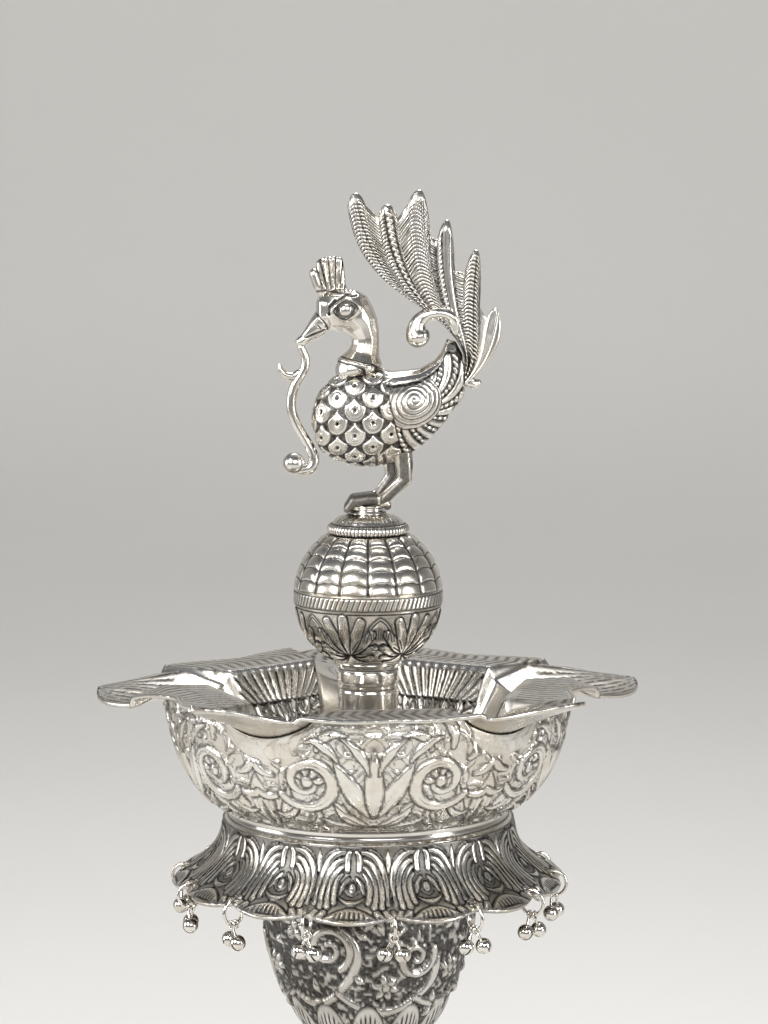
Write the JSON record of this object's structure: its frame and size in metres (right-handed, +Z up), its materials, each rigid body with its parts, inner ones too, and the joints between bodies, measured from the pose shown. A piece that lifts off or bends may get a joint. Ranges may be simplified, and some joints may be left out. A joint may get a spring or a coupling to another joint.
{
  "type": "standing oil lamp",
  "caption": "Free-standing metal oil lamp: spouted oil pan in a bowl on a turned stem, a bell-hung skirt, a globe above the pan and a crested bird finial.",
  "frame": {"origin": "on the lamp's axis, in the plane of the foot ring's underside", "axes": "+Z up along the axis; the bird faces -X; the picture looks along +Y with +X to its right"},
  "size_m": [0.1614, 0.1568, 0.4227],
  "materials": {
    "bright_silver": "polished silver plate with black oxide left in the chased lines",
    "antique_silver": "silver plate with a dark oxidised ground and polished raised ornament",
    "plain_steel": "bright zinc-plated steel"
  },
  "bodies": {
    "lamp": {"base_nut": "plain_steel", "base_washer": "plain_steel", "tie_rod": "plain_steel", "bowl_spacer": "plain_steel", "foot_ring": "bright_silver", "base_bell": "bright_silver", "base_plate": "bright_silver", "lower_knop": "bright_silver", "stem_tube": "bright_silver", "vase_knop": "bright_silver", "skirt": "bright_silver", "bowl_collar": "bright_silver", "bowl_shell": "bright_silver", "oil_pan": "bright_silver", "neck_tube": "bright_silver", "globe_lower": "bright_silver", "globe_band": "bright_silver", "globe_upper": "bright_silver", "finial_cap": "bright_silver", "finial_post": "bright_silver", "bird_body": "bright_silver", "bird_head": "bright_silver", "bird_tail": "bright_silver", "beak_vine": "bright_silver", "stem_vase": "antique_silver"},
    "ring_01": {"bell_ring_01": "bright_silver"},
    "bells_01": {"bell_pair_01": "bright_silver"},
    "ring_02": {"bell_ring_02": "bright_silver"},
    "bells_02": {"bell_pair_02": "bright_silver"},
    "ring_03": {"bell_ring_03": "bright_silver"},
    "bells_03": {"bell_pair_03": "bright_silver"},
    "ring_04": {"bell_ring_04": "bright_silver"},
    "bells_04": {"bell_pair_04": "bright_silver"},
    "ring_05": {"bell_ring_05": "bright_silver"},
    "bells_05": {"bell_pair_05": "bright_silver"},
    "ring_06": {"bell_ring_06": "bright_silver"},
    "bells_06": {"bell_pair_06": "bright_silver"},
    "ring_07": {"bell_ring_07": "bright_silver"},
    "bells_07": {"bell_pair_07": "bright_silver"},
    "ring_08": {"bell_ring_08": "bright_silver"},
    "bells_08": {"bell_pair_08": "bright_silver"},
    "ring_09": {"bell_ring_09": "bright_silver"},
    "bells_09": {"bell_pair_09": "bright_silver"},
    "ring_10": {"bell_ring_10": "bright_silver"},
    "bells_10": {"bell_pair_10": "bright_silver"},
    "ring_11": {"bell_ring_11": "bright_silver"},
    "bells_11": {"bell_pair_11": "bright_silver"},
    "ring_12": {"bell_ring_12": "bright_silver"},
    "bells_12": {"bell_pair_12": "bright_silver"},
    "ring_13": {"bell_ring_13": "bright_silver"},
    "bells_13": {"bell_pair_13": "bright_silver"},
    "ring_14": {"bell_ring_14": "bright_silver"},
    "bells_14": {"bell_pair_14": "bright_silver"}
  },
  "joints": [
    {"name": "ring_swing_01", "type": "hinge", "parent": "lamp", "child": "ring_01", "pos_m": [0.00729, -0.05393, 0.2238], "axis": [-0.991, -0.134, 0], "range_deg": [-15, 40]},
    {"name": "bell_swing_01", "type": "hinge", "parent": "ring_01", "child": "bells_01", "pos_m": [0.00729, -0.05393, 0.21793], "axis": [0.134, -0.991, 0], "range_deg": [-35, 35]},
    {"name": "ring_swing_02", "type": "hinge", "parent": "lamp", "child": "ring_02", "pos_m": [0.02997, -0.04542, 0.2238], "axis": [-0.8347, -0.5507, 0], "range_deg": [-15, 40]},
    {"name": "bell_swing_02", "type": "hinge", "parent": "ring_02", "child": "bells_02", "pos_m": [0.02997, -0.04542, 0.21793], "axis": [0.5507, -0.8347, 0], "range_deg": [-35, 35]},
    {"name": "ring_swing_03", "type": "hinge", "parent": "lamp", "child": "ring_03", "pos_m": [0.04671, -0.02792, 0.2238], "axis": [-0.5131, -0.8583, 0], "range_deg": [-15, 40]},
    {"name": "bell_swing_03", "type": "hinge", "parent": "ring_03", "child": "bells_03", "pos_m": [0.04671, -0.02792, 0.21793], "axis": [0.8583, -0.5131, 0], "range_deg": [-35, 35]},
    {"name": "ring_swing_04", "type": "hinge", "parent": "lamp", "child": "ring_04", "pos_m": [0.0542, -0.00489, 0.2238], "axis": [-0.0899, -0.996, 0], "range_deg": [-15, 40]},
    {"name": "bell_swing_04", "type": "hinge", "parent": "ring_04", "child": "bells_04", "pos_m": [0.0542, -0.00489, 0.21793], "axis": [0.996, -0.0899, 0], "range_deg": [-35, 35]},
    {"name": "ring_swing_05", "type": "hinge", "parent": "lamp", "child": "ring_05", "pos_m": [0.05095, 0.01911, 0.2238], "axis": [0.3511, -0.9363, 0], "range_deg": [-15, 40]},
    {"name": "bell_swing_05", "type": "hinge", "parent": "ring_05", "child": "bells_05", "pos_m": [0.05095, 0.01911, 0.21793], "axis": [0.9363, 0.3511, 0], "range_deg": [-35, 35]},
    {"name": "ring_swing_06", "type": "hinge", "parent": "lamp", "child": "ring_06", "pos_m": [0.03762, 0.03932, 0.2238], "axis": [0.7226, -0.6912, 0], "range_deg": [-15, 40]},
    {"name": "bell_swing_06", "type": "hinge", "parent": "ring_06", "child": "bells_06", "pos_m": [0.03762, 0.03932, 0.21793], "axis": [0.6912, 0.7226, 0], "range_deg": [-35, 35]},
    {"name": "ring_swing_07", "type": "hinge", "parent": "lamp", "child": "ring_07", "pos_m": [0.01683, 0.05175, 0.2238], "axis": [0.951, -0.3093, 0], "range_deg": [-15, 40]},
    {"name": "bell_swing_07", "type": "hinge", "parent": "ring_07", "child": "bells_07", "pos_m": [0.01683, 0.05175, 0.21793], "axis": [0.3093, 0.951, 0], "range_deg": [-35, 35]},
    {"name": "ring_swing_08", "type": "hinge", "parent": "lamp", "child": "ring_08", "pos_m": [-0.00729, 0.05393, 0.2238], "axis": [0.991, 0.134, 0], "range_deg": [-15, 40]},
    {"name": "bell_swing_08", "type": "hinge", "parent": "ring_08", "child": "bells_08", "pos_m": [-0.00729, 0.05393, 0.21793], "axis": [-0.134, 0.991, 0], "range_deg": [-35, 35]},
    {"name": "ring_swing_09", "type": "hinge", "parent": "lamp", "child": "ring_09", "pos_m": [-0.02997, 0.04542, 0.2238], "axis": [0.8347, 0.5507, 0], "range_deg": [-15, 40]},
    {"name": "bell_swing_09", "type": "hinge", "parent": "ring_09", "child": "bells_09", "pos_m": [-0.02997, 0.04542, 0.21793], "axis": [-0.5507, 0.8347, 0], "range_deg": [-35, 35]},
    {"name": "ring_swing_10", "type": "hinge", "parent": "lamp", "child": "ring_10", "pos_m": [-0.04671, 0.02792, 0.2238], "axis": [0.5131, 0.8583, 0], "range_deg": [-15, 40]},
    {"name": "bell_swing_10", "type": "hinge", "parent": "ring_10", "child": "bells_10", "pos_m": [-0.04671, 0.02792, 0.21793], "axis": [-0.8583, 0.5131, 0], "range_deg": [-35, 35]},
    {"name": "ring_swing_11", "type": "hinge", "parent": "lamp", "child": "ring_11", "pos_m": [-0.0542, 0.00489, 0.2238], "axis": [0.0899, 0.996, 0], "range_deg": [-15, 40]},
    {"name": "bell_swing_11", "type": "hinge", "parent": "ring_11", "child": "bells_11", "pos_m": [-0.0542, 0.00489, 0.21793], "axis": [-0.996, 0.0899, 0], "range_deg": [-35, 35]},
    {"name": "ring_swing_12", "type": "hinge", "parent": "lamp", "child": "ring_12", "pos_m": [-0.05095, -0.01911, 0.2238], "axis": [-0.3511, 0.9363, 0], "range_deg": [-15, 40]},
    {"name": "bell_swing_12", "type": "hinge", "parent": "ring_12", "child": "bells_12", "pos_m": [-0.05095, -0.01911, 0.21793], "axis": [-0.9363, -0.3511, 0], "range_deg": [-35, 35]},
    {"name": "ring_swing_13", "type": "hinge", "parent": "lamp", "child": "ring_13", "pos_m": [-0.03762, -0.03932, 0.2238], "axis": [-0.7226, 0.6912, 0], "range_deg": [-15, 40]},
    {"name": "bell_swing_13", "type": "hinge", "parent": "ring_13", "child": "bells_13", "pos_m": [-0.03762, -0.03932, 0.21793], "axis": [-0.6912, -0.7226, 0], "range_deg": [-35, 35]},
    {"name": "ring_swing_14", "type": "hinge", "parent": "lamp", "child": "ring_14", "pos_m": [-0.01683, -0.05175, 0.2238], "axis": [-0.951, 0.3093, 0], "range_deg": [-15, 40]},
    {"name": "bell_swing_14", "type": "hinge", "parent": "ring_14", "child": "bells_14", "pos_m": [-0.01683, -0.05175, 0.21793], "axis": [-0.3093, -0.951, 0], "range_deg": [-35, 35]}
  ]
}
